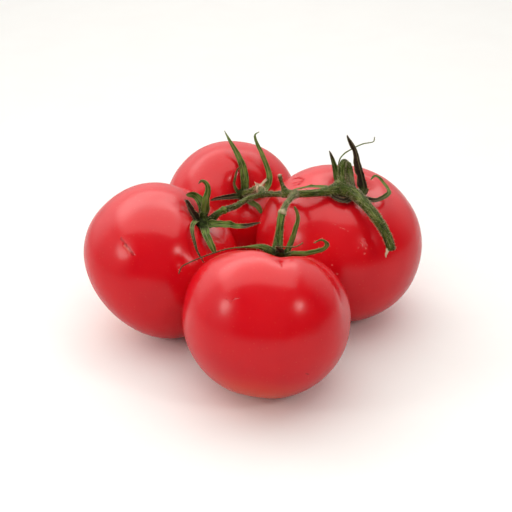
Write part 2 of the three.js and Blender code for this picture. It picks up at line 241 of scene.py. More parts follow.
# For each fruit: its centre, half-width, heights above and below the widest line, hollow, squareness
# above and below, and lean. Then the folds that run out of the hollow, as direction, depth and width,
# and pressed places, as a point, depth and reach. All in mm and degrees.
FRUITS = {
    "left": {
        "at": (-40.1, -2, 31.64), "radius": 34, "crown": 30.9, "base": 27.3,
        "hollow": 6.5, "powers": (2.18, 2.34), "lean": (42.6, -7),
        "folds": [(-95, 0.7, 14), (-20, 0.8, 16), (60, 0.8, 16), (125, 0.5, 14), (190, 0.6, 16)],
        "presses": [((-52.2, -25.7, 51), 0.3, 4.5), ((-30.5, -30.5, 45.5), 0.3, 2.0)],
    },
    "back": {
        "at": (-10.5, 58.1, 28.59), "radius": 30.8, "crown": 26, "base": 25.4,
        "hollow": 5.2, "powers": (2.33, 2.07), "lean": (50.9, -70),
        "folds": [(20, 0.5, 15), (95, 0.5, 16), (150, 0.3, 18), (235, 0.3, 18), (310, 0.4, 18)],
        "presses": [],
    },
    "right": {
        "at": (36.5, 13, 32.36), "radius": 36.1, "crown": 32.6, "base": 32.8,
        "hollow": 6.5, "powers": (2.18, 1.98), "lean": (15.8, -45),
        "folds": [(-115, 0.4, 16), (-45, 0.3, 16), (25, 0.3, 16), (100, 0.5, 15), (170, 0.4, 18)],
        "presses": [],
    },
    "front": {
        "at": (4.6, -52.9, 31.62), "radius": 33.6, "crown": 29.5, "base": 31.8,
        "hollow": 7, "powers": (2.3, 1.98), "lean": (27.5, 70),
        "folds": [(-88, 0.5, 12), (-22, 1.5, 12), (45, 0.6, 15), (122, 3.4, 28), (205, 0.4, 16)],
        "presses": [((-5, -36, 58), 1.8, 13), ((9.5, -60, 58), 1.3, 3.5), ((9.5, -51, 62), 1.6, 6)],
    },
}


def to_piece_mesh(name, bm):
    """The finished bmesh as a smooth mesh in metres."""
    bmesh.ops.scale(bm, vec=(MM, MM, MM), verts=bm.verts)
    for face in bm.faces:
        face.smooth = True
    mesh = bpy.data.meshes.new(name)
    bm.to_mesh(mesh)
    bm.free()
    return mesh


def fruit_mesh(name, fruit):
    """The skin: a globe drawn to the fruit's profile, folded, leaned over and pressed on the card."""
    bm = bmesh.new()
    bmesh.ops.create_uvsphere(bm, u_segments=AROUND, v_segments=RINGS, radius=1)
    for vert in bm.verts:
        rise = max(-1.0, min(1.0, vert.co.z))
        side = math.sqrt(1 - rise * rise)
        turn = math.degrees(math.atan2(vert.co.y, vert.co.x))
        above = rise > 0
        height = fruit["crown"] if above else fruit["base"]
        power = fruit["powers"][0 if above else 1]
        reach = ((side / fruit["radius"]) ** power + (abs(rise) / height) ** power) ** (-1 / power)
        r = reach * side
        z = reach * rise
        if above:
            z -= fruit["hollow"] * math.exp(-((r / HOLLOW_WIDTH) ** 2))
        else:
            z += DIMPLE_DEPTH * math.exp(-((r / DIMPLE_WIDTH) ** 2))
        fade = smoothstep(z / fruit["crown"], *FOLD_HEIGHTS) * smoothstep(r, *FOLD_START)
        press = sum(
            depth * math.exp(-((((turn - towards + 180) % 360 - 180) / width) ** 2))
            for towards, depth, width in fruit["folds"]
        )
        compass = math.radians(turn)
        spoke = Vector((math.cos(compass) * r, math.sin(compass) * r, z))
        vert.co = spoke * (1 - press * fade / spoke.length)
    stand = Matrix.Translation(fruit["at"]) @ leaning(*fruit["lean"])
    bmesh.ops.transform(bm, matrix=stand, verts=bm.verts)
    centre = Vector(fruit["at"])
    for vert in bm.verts:
        inward = (centre - vert.co).normalized()
        for point, depth, reach in fruit["presses"]:
            vert.co += inward * depth * math.exp(-(((vert.co - Vector(point)).length / reach) ** 2))
        vert.co += inward * WAVER * noise.noise(vert.co * WAVER_SCALE)
        vert.co.z = max(0, vert.co.z)
    bmesh.ops.recalc_face_normals(bm, faces=bm.faces)
    return to_piece_mesh(name, bm)


def combine(tree, kind, first, second):
    """One step of arithmetic on two vectors."""
    return put_node(tree, "ShaderNodeVectorMath", {0: first, 1: second}, operation=kind)


def new_group(name, inputs, outputs):
    """An empty node group with the named sockets, its input node and its output node."""
    group = bpy.data.node_groups.new(name, "ShaderNodeTree")
    for direction, sockets in (("INPUT", inputs), ("OUTPUT", outputs)):
        for label, kind in sockets.items():
            group.interface.new_socket(label, in_out=direction, socket_type=f"NodeSocket{kind}")
    entry = group.nodes.new("NodeGroupInput")
    leave = group.nodes.new("NodeGroupOutput")
    return group, entry, leave


def put_group(tree, group, inputs):
    """The group placed in a tree with its own values."""
    return put_node(tree, "ShaderNodeGroup", inputs, node_tree=group)


# Freckles: the cloudy tone of ripe skin, its pale pinprick dots and the slight unevenness.
freckles, entry, leave = new_group(
    "skin_freckles", {"Position": "Vector", "Shift": "Vector"},
    {"Tone": "Float", "Dots": "Float", "Relief": "Float"},
)
place = combine(freckles, "ADD", entry.outputs["Position"], entry.outputs["Shift"]).outputs[0]
clouds = put_node(freckles, "ShaderNodeTexNoise", {"Vector": place, "Scale": 42.0, "Detail": 5.0})
cells = put_node(freckles, "ShaderNodeTexVoronoi", {"Vector": place, "Scale": 620.0})
near = between(freckles, cells.outputs["Distance"], 0.26, 0.06)
chosen = put_node(freckles, "ShaderNodeSeparateColor", {"Color": cells.outputs["Color"]})
chance = between(freckles, chosen.outputs[0], 0.35, 0.9)
fine = put_node(freckles, "ShaderNodeTexNoise", {"Vector": place, "Scale": 900.0, "Detail": 2.0})
coarse = put_node(freckles, "ShaderNodeTexNoise", {"Vector": place, "Scale": 190.0, "Detail": 2.0})
relief = calculate(
    freckles, "ADD", calculate(freckles, "MULTIPLY", coarse.outputs["Fac"], 3.0),
    fine.outputs["Fac"],
)
freckles.links.new(clouds.outputs["Fac"], leave.inputs["Tone"])
freckles.links.new(calculate(freckles, "MULTIPLY", near, chance), leave.inputs["Dots"])
freckles.links.new(relief, leave.inputs["Relief"])

# Mark line: a line between two points of the skin. It draws the skin's fine healed marks, and also
# painted highlights and painted shade.
mark_line, entry, leave = new_group(
    "skin_scratch",
    {"Position": "Vector", "Start": "Vector", "End": "Vector", "Width": "Float"},
    {"Mask": "Float"},
)
to_place = combine(mark_line, "SUBTRACT", entry.outputs["Position"], entry.outputs["Start"]).outputs[0]
length = combine(mark_line, "SUBTRACT", entry.outputs["End"], entry.outputs["Start"]).outputs[0]
run = combine(mark_line, "DOT_PRODUCT", to_place, length).outputs["Value"]
whole = combine(mark_line, "DOT_PRODUCT", length, length).outputs["Value"]
share = put_node(
    mark_line, "ShaderNodeMath", {0: run, 1: whole}, operation="DIVIDE", use_clamp=True
).outputs[0]
foot = put_node(mark_line, "ShaderNodeVectorMath", {0: length, "Scale": share}, operation="SCALE")
away = combine(mark_line, "DISTANCE", to_place, foot.outputs[0]).outputs["Value"]
mask = between(mark_line, away, entry.outputs["Width"], 0.0)
mark_line.links.new(mask, leave.inputs["Mask"])

# Marks on the skin, in mm: the points that the mark runs through, its width, and how dark it is, or 0
# for a pale one. Those darker than the dull-mark level below are deep red and don't shine. Most are the
# skin's own scars and specks, but the left fruit's two pale marks by its dents are painted highlights,
# and the front fruit's last two marks are painted shade in the notch below its stalk.
MARKS = {
    "left": [
        ([(-54.8, -23.9, 53.3), (-52.6, -26.7, 51.6), (-49.5, -29.9, 49)], 1.0, 0.5),
        # painted highlight on the dent beside the slash
        ([(-53.2, -26.2, 51), (-51, -28.6, 49.4)], 1.0, 0),
        # painted highlight on the small dent beside its crease
        ([(-32.1, -31.1, 47), (-29.9, -30.7, 46.1)], 0.7, 0),
        ([(-32, -31.5, 45.8), (-30.3, -31.2, 45.2)], 0.5, 0.5),
    ],
    "back": [],
    "right": [
        ([(16.2, 18, 61.3), (18.7, 16.5, 62.7), (20.7, 12.9, 63.6), (18.9, 12, 62.9),
          (15.8, 13.6, 61.3)], 1.3, 0.95),
        ([(16.4, 11.3, 61.6), (18.5, 10.2, 62.5), (20.3, 11.6, 63.4)], 1.3, 0.95),
        ([(44, -18.1, 48.2), (44.6, -18.4, 47.2)], 0.5, 0),
        ([(46.1, -18.6, 46.2), (46.2, -18.6, 46)], 0.7, 0),
        ([(45.3, -19.8, 44.1), (45.9, -19.6, 44.3)], 0.5, 0),
        ([(42.9, -18.9, 46.4), (43, -18.9, 46.3)], 0.6, 0),
        ([(31.6, -13, 55.4), (39, -15.8, 52.6)], 0.35, 0),
        ([(34.1, -22.9, 36.3), (34.2, -22.9, 36.3)], 0.6, 0),
        ([(32, -22.1, 40), (32.1, -22.1, 40)], 0.6, 0),
    ],
    "front": [
        ([(-11, -74.3, 52.7), (-9.1, -76.1, 52.1), (-7.8, -75.7, 53.3), (-6.1, -76.1, 53.8)],
         0.35, 0.25),
        ([(19.8, -80.9, 23.3), (21, -79.8, 22.2)], 0.55, 0.5),
        # painted shade in the notch below the stalk, deep red and without shine
        ([(9.8, -59.2, 62.8), (10.2, -60.9, 62.3)], 2.6, 0.7),
        ([(10.2, -60.9, 62.3), (10.4, -64.4, 61.9)], 1.3, 0.7),
    ],
}
PALE_MARK = 0.35
# Marks darker than this are deep red with no shine: the right fruit's scars, and the painted shade in
# the front fruit's notch
DULL_MARK_DARKNESS = 0.6
MARK_RELIEF = 9.0
# How far the marks stray from their lines, in metres
MARK_STRAY = 0.0012
PALE_TINT = (0.85, 0.40, 0.32, 1)
DARK_TINT = (0.16, 0.004, 0.004, 1)
# The deep red of the scars and of the painted shade in the notch
SCAR_AND_NOTCH_SHADE_TINT = (0.46, 0.002, 0.006, 1)
SKIN_DEEP = (0.62, 0.002, 0.010)
SKIN_BRIGHT = (0.72, 0.006, 0.012)
DOT_TINT = (0.85, 0.22, 0.10, 1)
DOT_STRENGTH = 0.1
# The skin turns paler and more orange round the far end, with cork there: tint, and where it begins
# and is full, in metres
FAR_END_TINT = (0.8, 0.10, 0.02, 1)
FAR_END_REACH = (0.030, 0.003)
FAR_END_STRENGTH = 0.75
CORK_TINT = (0.22, 0.12, 0.05, 1)
CORK_REACH = (0.0019, 0.0013)


def skin_material(side, fruit):
    """Red skin with its clouds, dots and marks, with painted highlights and painted shade among the
    marks, paler round the corky scar at the far end.
    """
    material, tree = new_material(f"skin_{side}")
    place = put_node(tree, "ShaderNodeTexCoord").outputs["Object"]
    look = put_group(
        tree, freckles, {"Position": place, "Shift": tuple(0.7 * x * MM for x in fruit["at"])}
    )
    colour = ramp(tree, look.outputs["Tone"], (0.3, SKIN_DEEP), (0.72, SKIN_BRIGHT))
    dots = calculate(tree, "MULTIPLY", look.outputs["Dots"], DOT_STRENGTH)
    colour = blend_colours(tree, dots, colour, DOT_TINT)
    relief = look.outputs["Relief"]
    wander = put_node(tree, "ShaderNodeTexNoise", {"Vector": place, "Scale": 900.0}).outputs["Color"]
    bent = put_node(
        tree, "ShaderNodeVectorMath", {0: wander, 1: (MARK_STRAY,) * 3, 2: place},
        operation="MULTIPLY_ADD",
    ).outputs[0]
    bent = combine(tree, "SUBTRACT", bent, (MARK_STRAY / 2,) * 3).outputs[0]
    dull = 0.0
    # The marks: the skin's own scars and specks, and a few painted highlights and patches of painted
    # shade
    for points, width, dark in MARKS[side]:
        tint = DARK_TINT if dark else PALE_TINT
        # Scars, and the painted shade in the front fruit's notch, are deep red
        if dark > DULL_MARK_DARKNESS:
            tint = SCAR_AND_NOTCH_SHADE_TINT
        for start, end in zip(points, points[1:]):
            mark = put_group(tree, mark_line, {
                "Position": bent, "Width": width * MM,
                "Start": tuple(x * MM for x in start), "End": tuple(x * MM for x in end),
            }).outputs["Mask"]
            strength = calculate(tree, "MULTIPLY", mark, dark or PALE_MARK)
            colour = blend_colours(tree, strength, colour, tint)
            sunk = calculate(tree, "MULTIPLY", mark, MARK_RELIEF)
            relief = calculate(tree, "SUBTRACT", relief, sunk)
            if dark > DULL_MARK_DARKNESS:
                dull = calculate(tree, "MAXIMUM", mark, dull)
    far_end = Vector(fruit["at"]) + leaning(*fruit["lean"]) @ Vector((0, 0, -fruit["base"]))
    away = combine(tree, "DISTANCE", place, tuple(far_end * MM)).outputs["Value"]
    towards_far_end = between(tree, away, *FAR_END_REACH, 0.0, FAR_END_STRENGTH)
    colour = blend_colours(tree, towards_far_end, colour, FAR_END_TINT)
    colour = blend_colours(tree, between(tree, away, *CORK_REACH), colour, CORK_TINT)
    bump = put_node(tree, "ShaderNodeBump", {"Height": relief, "Strength": 0.35, "Distance": 0.00004})
    roughness = between(tree, look.outputs["Tone"], 0.2, 0.8, 0.21, 0.25)
    skin = put_node(tree, "ShaderNodeBsdfPrincipled", {
        "Base Color": colour, "Roughness": roughness, "IOR": 1.4, "Normal": bump.outputs[0],
        "Specular IOR Level": between(tree, dull, 0.0, 0.8, 0.5, 0.0),
        "Subsurface Weight": 0.5, "Subsurface Radius": (1.0, 0.15, 0.1), "Subsurface Scale": 0.008,
    })
    finish_material(tree, skin)
    return material


def add_piece(name, mesh, material, slot, *nodes):
    """Puts a finished mesh in the scene as a piece of the truss, in place of its plain solid."""
    mesh.materials.append(material)
    piece = bpy.data.objects.new(name, mesh)
    bpy.context.scene.collection.objects.link(piece)
    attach(piece, "root")
    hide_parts(*nodes)


for side, fruit in FRUITS.items():
    add_piece(
        f"fruit_{side}", fruit_mesh(f"fruit_{side}", fruit), skin_material(side, fruit),
        "fruit_skin", f"tomato_{side}",
    )


# Stalk. The main stalk ends in a cut and swells into a node over the right fruit, where it forks.
# It runs on to the left with a twig to each fruit and one withered stub. It grew in one piece.
STALK_SIDES = 16
LIMB_STEP = 0.5
LIMB_ACROSS = (0.3, 0.9, 0.2)
# What grows together is rebuilt on a grid this fine
VOXEL = 0.3
# How far the fibres stand up, and the shares of the fine fibres and the broad lumps in them
STALK_RIDGES = 0.22
FIBRE_SHARE = 0.6
LUMP_SHARE = 0.5
# The joints of the twigs, where each fruit's own stalk begins
KNUCKLES = {
    "left": (-13, -4, 56.6),
    "back": (1.4, 27.6, 52.2),
    "right": (39.2, 10.4, 70.8),
    "front": (10.9, -33, 69),
}
NODE = (35.8, 0, 64.7)
# For each limb: the points that its middle runs through, and its radii at even steps
LIMBS = [
    (  # main stalk, from the cut to the node
        [(56.8, -24.9, 45.5), (56, -24.5, 48.5), (54.5, -23, 53), (51, -19, 58.5), (46, -11.5, 62.3),
         (41, -3, 64), NODE],
        [1.9, 1.95, 2.1, 2.2, 2.2, 2.35, 2.7, 3.2],
    ),
    (  # the swelling where it forks
        [(33, -1.2, 63.4), NODE, (38.8, -0.6, 64.2)],
        [1.8, 3.2, 3.8, 3.3, 2.0],
    ),
    (  # on to the left
        [NODE, (29.3, -3.5, 64.8), (23, -5.5, 65), (16, -4.5, 64.4), (10, 3, 60.8), (3.1, 10, 57.3),
         (-3, 6, 57.2), (-8, 0, 56.6), KNUCKLES["left"]],
        [3.3, 2.2, 1.6, 1.5, 1.6, 1.8, 1.35, 1.2, 1.45, 1.2, 1.15, 1.2, 1.3, 1.4],
    ),
    (  # twig to the right fruit, arching over
        [NODE, (36.4, 3, 68.2), (36.6, 5.5, 72.2), (37.5, 8, 73.3), KNUCKLES["right"]],
        [3.2, 2.2, 1.5, 1.4, 1.45, 1.45, 1.6],
    ),
    (  # twig to the back fruit
        [(3.1, 10, 57.3), (3, 16, 56.2), (2.4, 22, 54.4), KNUCKLES["back"]],
        [1.7, 1.5, 1.6, 1.8, 1.8],
    ),
    (  # twig to the front fruit
        [(17, -4.5, 64.4), (15.5, -13, 67), (12.8, -24, 68.8), KNUCKLES["front"]],
        [1.9, 1.4, 1.15, 1.15, 1.25, 1.5],
    ),
    (  # withered stub where a flower dropped
        [(13.5, -2, 62.5), (11.8, -1, 66), (10.8, -0.5, 69), (10.3, -0.5, 71.5)],
        [2.7, 2.0, 1.15, 0.8, 0.7, 0.95, 0.8],
    ),
]
# Places where the skin is pale and frayed, or dark, and painted shade under the node: a point,
# the reach, paleness and darkness
STALK_STAINS_AND_SHADE = [
    ((2.2, 22, 54.6), 3.6, 1, 0),
    (KNUCKLES["front"], 2.2, 0.65, 0),
    (KNUCKLES["left"], 5.5, 0, 0.55),
    ((56, -24.6, 48.6), 1.9, 0, 0.75),
    (KNUCKLES["back"], 1.6, 0, 0.6),
    (NODE, 3.5, 0.25, 0),
    ((10.3, -0.5, 71.5), 1.3, 0.8, 0),
    # painted shade under the node, for these two
    ((36.5, -3, 60.8), 3.4, 0, 0.75),
    ((33, -3, 62), 1.6, 0, 0.5),
]


def smooth_path(points, count):
    """Even stations on a smooth curve through the points: share of the way, distance, place."""
    points = [Vector(p) for p in points]
    knots = [points[0] * 2 - points[1], *points, points[-1] * 2 - points[-2]]
    track = []
    for p0, p1, p2, p3 in zip(knots, knots[1:], knots[2:], knots[3:]):
        d0, d1, d2 = (math.sqrt((b - a).length) for a, b in ((p0, p1), (p1, p2), (p2, p3)))
        leave = ((p1 - p0) / d0 - (p2 - p0) / (d0 + d1) + (p2 - p1) / d1) * d1
        arrive = ((p2 - p1) / d1 - (p3 - p1) / (d1 + d2) + (p3 - p2) / d2) * d1
        track += interpolate_bezier(p1, p1 + leave / 3, p2 - arrive / 3, p2, 25)[:-1]
    track.append(points[-1])
    travelled = [0.0]
    for a, b in zip(track, track[1:]):
        travelled.append(travelled[-1] + (b - a).length)
    stations = []
    i = 0
    for step in range(count + 1):
        distance = travelled[-1] * step / count
        while i < len(track) - 2 and travelled[i + 1] < distance:
            i += 1
        part = (distance - travelled[i]) / (travelled[i + 1] - travelled[i])
        stations.append((step / count, distance, track[i].lerp(track[i + 1], part)))
    return stations


def along_list(values, share):
    """The value at that share of the way along a list."""
    spot = share * (len(values) - 1)
    i = min(int(spot), len(values) - 2)
    return values[i] + (values[i + 1] - values[i]) * (spot - i)


def swept(stations, across, sides, section):
    """A closed tube along the stations. Its rings turn as little as they can from one to the next."""
    bm = bmesh.new()
    grain = bm.verts.layers.float_vector.new("grain")
    side = Vector(across)
    rings = []
    frames = []
    for i, (share, distance, centre) in enumerate(stations):
        before, after = stations[max(0, i - 1)][2], stations[min(len(stations) - 1, i + 1)][2]
        forward = (after - before).normalized()
        side = (side - forward * side.dot(forward)).normalized()
        through = forward.cross(side)
        frames.append((centre, distance, side.copy(), through))
        ring = bmesh.ops.create_circle(bm, cap_ends=False, radius=1, segments=sides)["verts"]
        for vert in ring:
            x, y = vert.co.x, vert.co.y
            a, b = section(share, distance, x, y)
            vert[grain] = (distance, x, y)
            vert.co = centre + side * a + through * b
        rings.append(list({edge for vert in ring for edge in vert.link_edges}))
    for one, other in zip(rings, rings[1:]):
        bmesh.ops.bridge_loops(bm, edges=one + other)
    bmesh.ops.holes_fill(bm, edges=rings[0] + rings[-1], sides=sides)
    bmesh.ops.recalc_face_normals(bm, faces=bm.faces)
    return bm, frames


def limb(points, radii, step=LIMB_STEP):
    """A round stalk whose radius follows the list."""
    length = smooth_path(points, 1)[-1][1]
    stations = smooth_path(points, max(6, int(length / step)))

    def section(share, distance, x, y):
        radius = along_list(radii, share)
        return radius * x, radius * y

    return swept(stations, LIMB_ACROSS, STALK_SIDES, section)


def pour(part, bm):
    """Empties one bmesh into another."""
    mesh = bpy.data.meshes.new("part")
    part.to_mesh(mesh)
    part.free()
    bm.from_mesh(mesh)
    bpy.data.meshes.remove(mesh)


def fused(parts):
    """The parts grown together into one closed skin, as a bmesh in mm."""
    whole = bmesh.new()
    for part in parts:
        pour(part, whole)
    mesh = bpy.data.meshes.new("raw")
    whole.to_mesh(mesh)
    whole.free()
    raw = bpy.data.objects.new("raw", mesh)
    bpy.context.scene.collection.objects.link(raw)
    remesh = raw.modifiers.new("grow_together", "REMESH")
    remesh.mode = "VOXEL"
    remesh.voxel_size = VOXEL
    grown = raw.evaluated_get(bpy.context.evaluated_depsgraph_get())
    bm = bmesh.new()
    bm.from_mesh(grown.to_mesh())
    grown.to_mesh_clear()
    bpy.data.objects.remove(raw)
    bpy.data.meshes.remove(mesh)
    for _ in range(3):
        bmesh.ops.smooth_vert(
            bm, verts=bm.verts, factor=0.5, use_axis_x=True, use_axis_y=True, use_axis_z=True
        )
    return bm


def follow_grain(bm, frames, ridges, seed):
    """Gives each point its place along and around the nearest limb, and raises the fibres there."""
    tree = KDTree(len(frames))
    for i, (centre, *_rest) in enumerate(frames):
        tree.insert(centre, i)
    tree.balance()
    grain = bm.verts.layers.float_vector.new("grain")
    bm.normal_update()
    shifts = []
    for vert in bm.verts:
        centre, distance, side, through = frames[tree.find(vert.co)[1]]
        spoke = vert.co - centre
        x, y = spoke.dot(side), spoke.dot(through)
        reach = math.hypot(x, y) or 1
        forward = side.cross(through)
        run = distance + spoke.dot(forward)
        vert[grain] = (run, x / reach, y / reach)
        fibre = noise.noise(Vector((run * 0.12 + seed, 2.6 * x / reach, 2.6 * y / reach)))
        lumps = noise.noise(Vector((run * 0.7, 1.2 * x / reach + seed, 1.2 * y / reach)))
        shifts.append(vert.normal * ridges * (FIBRE_SHARE * fibre + LUMP_SHARE * lumps))
    for vert, shift in zip(bm.verts, shifts):
        vert.co += shift


def stain_and_shade(bm, stains):
    """Gives each point its paleness and darkness, ragged round the given places. The darkness is
    stains, and in some places painted shade.
    """
    pale = bm.verts.layers.float.new("pale")
    deep = bm.verts.layers.float.new("deep")
    for vert in bm.verts:
        ragged = 1 + 0.5 * noise.noise(vert.co * 0.9)
        for place, reach, paleness, darkness in stains:
            near = math.exp(-(((vert.co - Vector(place)).length / (reach * ragged)) ** 2))
            vert[pale] = max(vert[pale], paleness * near)
            vert[deep] = max(vert[deep], darkness * near)


def join_in(bm, part, paleness):
    """Adds a finished part to the bmesh, with one paleness all over it."""
    pale = part.verts.layers.float.get("pale") or part.verts.layers.float.new("pale")
    for vert in part.verts:
        vert[pale] = paleness
    pour(part, bm)


HAIR_RADIUS = 0.055
HAIR_LENGTHS = (0.4, 1.05)
HAIR_SUNK = 0.12
HAIR_LEAN = 0.6
HAIR_PALENESS = 0.9
# Joined in small lots, because a bmesh slows down as it grows
HAIR_BATCH = 60


def add_hairs(bm, feet, seed):
    """Fine pale hairs, three-sided spikes that stand out of the skin with their feet sunk in it."""
    draw = random.Random(seed)
    for first in range(0, len(feet), HAIR_BATCH):
        hairs = bmesh.new()
        for place, out in feet[first:first + HAIR_BATCH]:
            lean = out + Vector(draw.uniform(-HAIR_LEAN, HAIR_LEAN) for _ in range(3))
            lean.normalize()
            length = draw.uniform(*HAIR_LENGTHS)
            stand = Matrix.Translation(place + lean * (length / 2 - HAIR_SUNK))
            bmesh.ops.create_cone(
                hairs, cap_ends=True, segments=3, radius1=HAIR_RADIUS, radius2=HAIR_RADIUS / 5,
                depth=length, matrix=stand @ lean.to_track_quat("Z", "Y").to_matrix().to_4x4(),
            )
        join_in(bm, hairs, HAIR_PALENESS)


def feet_on(faces, count, seed):
    """Places and directions for hairs, drawn from the faces."""
    chosen = random.Random(seed).sample(list(faces), count)
    return [(face.calc_center_median(), face.normal.copy()) for face in chosen]


SHRED_THICKNESS = 0.35
SHRED_TAPER = 0.75
SHRED_CURL = 0.5


def shred(points, width, across):
    """A torn scrap of skin, widest at its root and curled up at its sides."""
    def section(share, distance, x, y):
        ragged = 1 + 0.35 * noise.noise(Vector((distance * 1.7, 2.0 * (x > 0), width)))
        half = width / 2 * (1 - SHRED_TAPER * share) * ragged
        return half * x, half * SHRED_CURL * x * x + SHRED_THICKNESS / 2 * y

    return swept(smooth_path(points, 12), across, 8, section)[0]


parts = []
stalk_frames = []
for points, radii in LIMBS:
    part, frames = limb(points, radii)
    parts.append(part)
    stalk_frames += frames
stalk = fused(parts)
follow_grain(stalk, stalk_frames, STALK_RIDGES, 3.1)

# The cut: sliced off flat, its edge standing a little proud of the pith, which is hollow
CUT_AT = Vector((56, -24.5, 48.5))
CUT_FACING = Vector((0.2, -0.1, -1)).normalized()
RIM_WIDTH = 0.35
RIM_DEPTH = 0.3
PITH_WIDTH = 0.4
PITH_DEPTH = 0.8
sliced = bmesh.ops.bisect_plane(
    stalk, geom=stalk.verts[:] + stalk.edges[:] + stalk.faces[:], plane_co=CUT_AT,
    plane_no=CUT_FACING, clear_outer=True,
)
cut_edges = [item for item in sliced["geom_cut"] if isinstance(item, bmesh.types.BMEdge)]
cap = bmesh.ops.contextual_create(stalk, geom=cut_edges)["faces"]
bmesh.ops.inset_region(stalk, faces=cap, thickness=RIM_WIDTH, depth=-RIM_DEPTH)
bmesh.ops.inset_region(stalk, faces=cap, thickness=PITH_WIDTH, depth=-PITH_DEPTH)
bmesh.ops.recalc_face_normals(stalk, faces=stalk.faces)
# Stains, and painted shade under the node
stain_and_shade(stalk, STALK_STAINS_AND_SHADE)
# The floor of the pith's hollow is painted near black
deep = stalk.verts.layers.float["deep"]
for face in cap:
    for vert in face.verts:
        vert[deep] = 1
stalk.normal_update()
STALK_HAIRS = 3800
add_hairs(stalk, feet_on(stalk.faces, STALK_HAIRS, 11), 12)

# Torn skin: a flap hanging off the cut, and shreds standing off the back knuckle, each with its root,
# tip, width and paleness
FLAP = [(54.6, -25.2, 49.2), (54.2, -25.7, 48), (53.8, -25.9, 46.9), (53.9, -26, 45.6)]
SHREDS = [
    ((2.6, 22, 55.6), (5.4, 23.5, 58.2), 1.2, 1),
    ((2.8, 24, 55), (6.4, 26, 56.6), 1.0, 0),
    ((2.2, 25.5, 54), (4.9, 27.5, 56.9), 1.1, 1),
    ((1.6, 20, 56), (0.8, 20.5, 58), 0.9, 1),
    ((0.8, 26, 53.4), (-0.2, 27, 55.6), 1.0, 0.8),
]
join_in(stalk, shred(FLAP, 1.7, (1, 0, 0)), 1)
for root, tip, width, paleness in SHREDS:
    middle = [(a + b) / 2 + lift for a, b, lift in zip(root, tip, (0.2, -0.2, 0.5))]
    join_in(stalk, shred([root, middle, tip], width, (0.6, 0, -0.8)), paleness)

# Grain: streaks that run along a stalk or sepal, small flecks, and the relief of its fibres.
plant_grain, entry, leave = new_group(
    "plant_grain", {"Grain": "Vector", "Around": "Float"},
    {"Streaks": "Float", "Flecks": "Float", "Relief": "Float"},
)
spread = put_node(
    plant_grain, "ShaderNodeCombineXYZ",
    {"X": 0.09, "Y": entry.outputs["Around"], "Z": entry.outputs["Around"]},
).outputs[0]
drawn = combine(plant_grain, "MULTIPLY", entry.outputs["Grain"], spread).outputs[0]
streaks = put_node(
    plant_grain, "ShaderNodeTexNoise", {"Vector": drawn, "Scale": 2.2, "Detail": 5.0, "Roughness": 0.6}
).outputs["Fac"]
widened = combine(plant_grain, "MULTIPLY", entry.outputs["Grain"], (1.0, 1.6, 1.6)).outputs[0]
flecks = put_node(
    plant_grain, "ShaderNodeTexNoise", {"Vector": widened, "Scale": 2.4, "Detail": 3.0}
).outputs["Fac"]
plant_grain.links.new(streaks, leave.inputs["Streaks"])
plant_grain.links.new(flecks, leave.inputs["Flecks"])
plant_grain.links.new(
    calculate(plant_grain, "ADD", streaks, calculate(plant_grain, "MULTIPLY", flecks, 0.5)),
    leave.inputs["Relief"],
)

# Weathering and shade: skin that has gone pale and papery, or dark, unevenly at its border. The dark
# is dead skin, and also painted shade under the node and round the hubs.
PAPERY = (0.62, 0.50, 0.34, 1)
# near black, for dead skin and for painted shade
DEAD_AND_SHADE = (0.006, 0.006, 0.003, 1)
UNEVENNESS = 0.9
weathering_and_shade, entry, leave = new_group(
    "weathering_and_shade", {"Colour": "Color", "Pale": "Float", "Deep": "Float", "Flecks": "Float"},
    {"Colour": "Color"},
)
uneven = calculate(
    weathering_and_shade, "MULTIPLY", calculate(weathering_and_shade, "SUBTRACT", entry.outputs["Flecks"], 0.5),
    UNEVENNESS,
)
paled = between(weathering_and_shade, calculate(weathering_and_shade, "ADD", entry.outputs["Pale"], uneven), 0.22, 0.75)
paled = calculate(weathering_and_shade, "MULTIPLY", paled, between(weathering_and_shade, entry.outputs["Pale"], 0.0, 0.3))
aged = blend_colours(weathering_and_shade, paled, entry.outputs["Colour"], PAPERY)
darkened = calculate(weathering_and_shade, "MULTIPLY", entry.outputs["Deep"], 0.96)
aged = blend_colours(weathering_and_shade, darkened, aged, DEAD_AND_SHADE)
weathering_and_shade.links.new(aged, leave.inputs["Colour"])

FUZZ = {"Sheen Weight": 0.06, "Sheen Roughness": 0.35, "Sheen Tint": (1, 0.9, 0.5, 1)}
STALK_BROWN = (0.11, 0.055, 0.016, 1)


def read(tree, name, output="Fac"):
    """What the mesh's own layer of that name holds."""
    return put_node(tree, "ShaderNodeAttribute", attribute_name=name).outputs[output]


def finish_plant(tree, look, colour, patches):
    """Weathers the colour, darkens it with any painted shade, and finishes it with fibres, fuzz and
    a gloss that follows the patches.
    """
    colour = put_group(tree, weathering_and_shade, {
        "Colour": colour, "Pale": read(tree, "pale"), "Deep": read(tree, "deep"),
        "Flecks": look.outputs["Flecks"],
    }).outputs["Colour"]
    bump = put_node(
        tree, "ShaderNodeBump",
        {"Height": look.outputs["Relief"], "Strength": 0.8, "Distance": 0.0003},
    )
    finish_material(tree, put_node(tree, "ShaderNodeBsdfPrincipled", {
        "Base Color": colour, "Normal": bump.outputs[0], "Specular IOR Level": 0.12,
        "Roughness": between(tree, patches, 0.3, 0.7, 0.5, 0.7), **FUZZ,
    }))


